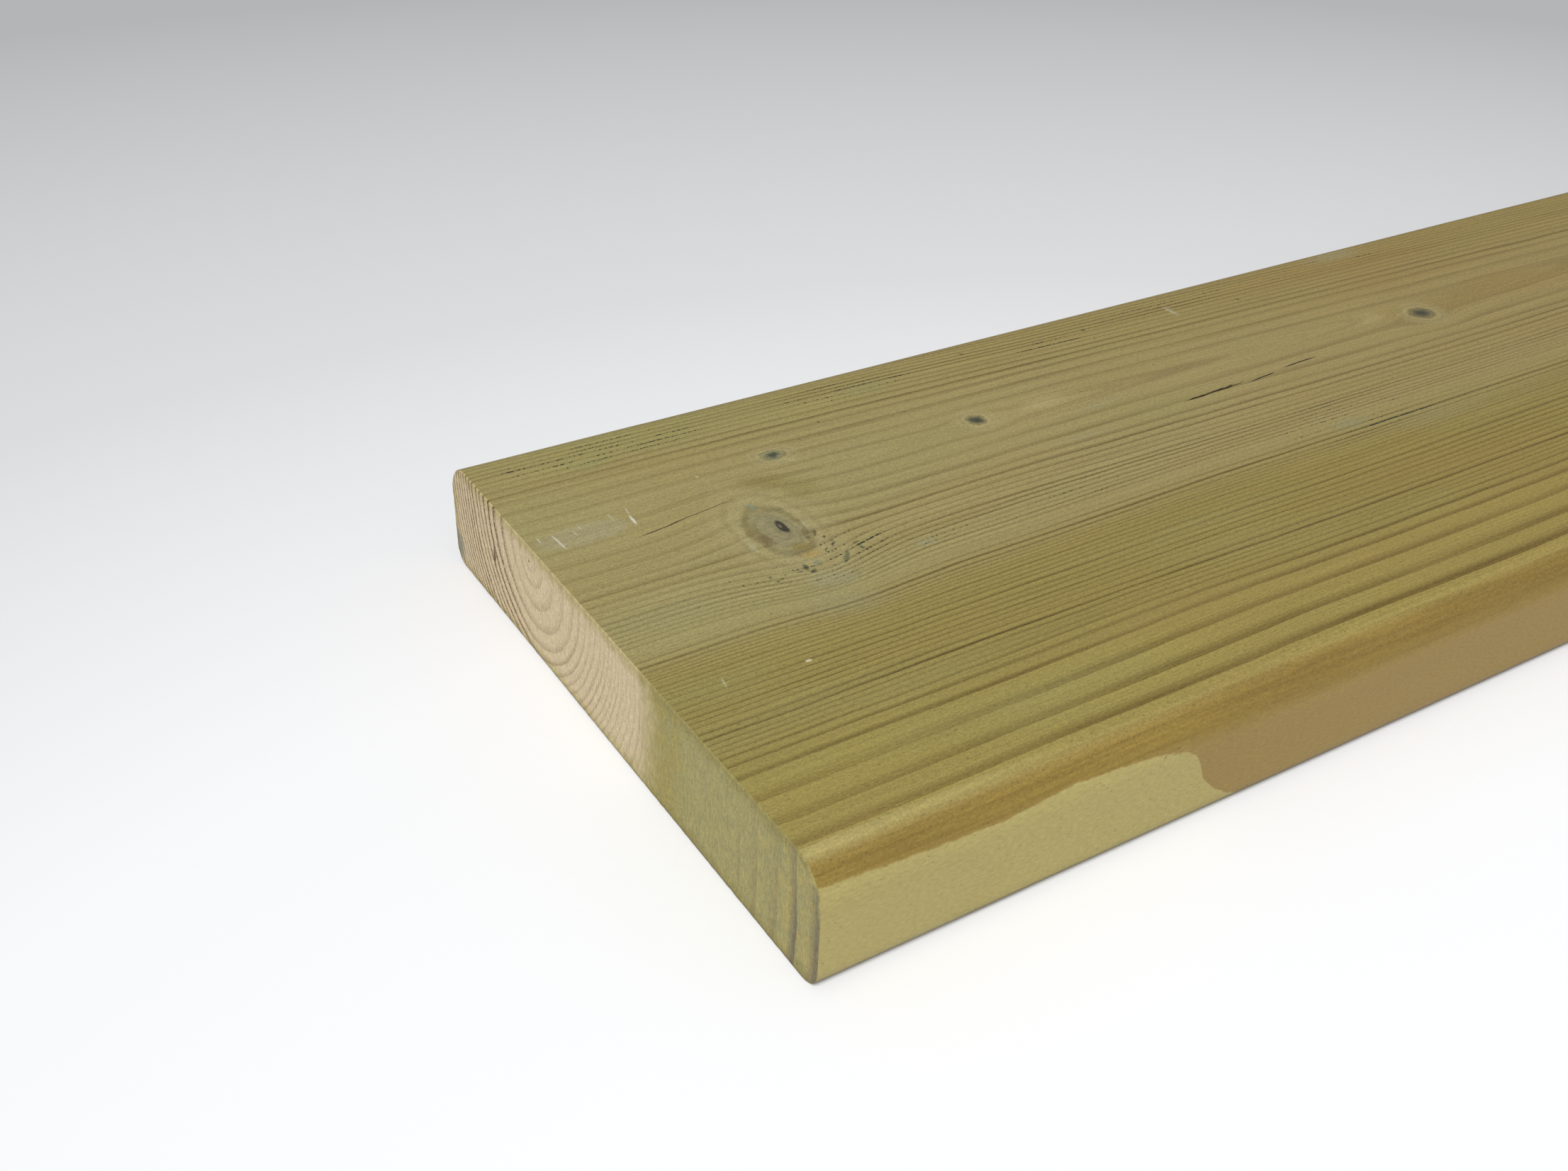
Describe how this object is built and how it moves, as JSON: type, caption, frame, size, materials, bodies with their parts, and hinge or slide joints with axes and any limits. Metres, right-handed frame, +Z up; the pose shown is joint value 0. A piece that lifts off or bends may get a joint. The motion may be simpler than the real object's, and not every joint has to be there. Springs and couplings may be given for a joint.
{
  "type": "treated pine board",
  "caption": "Straight planed softwood board, green-brown from pressure treatment, with rounded long edges and square sawn ends.",
  "frame": {"origin": "middle of the underside, on the floor it lies on", "axes": "+X along the grain and the length, +Y across the width, +Z up out of the upper face"},
  "size_m": [1.8, 0.145, 0.025],
  "materials": {
    "treated_pine": "planed and pressure treated, unpainted, matt"
  },
  "bodies": {
    "root": {"board": "treated_pine"}
  },
  "joints": []
}
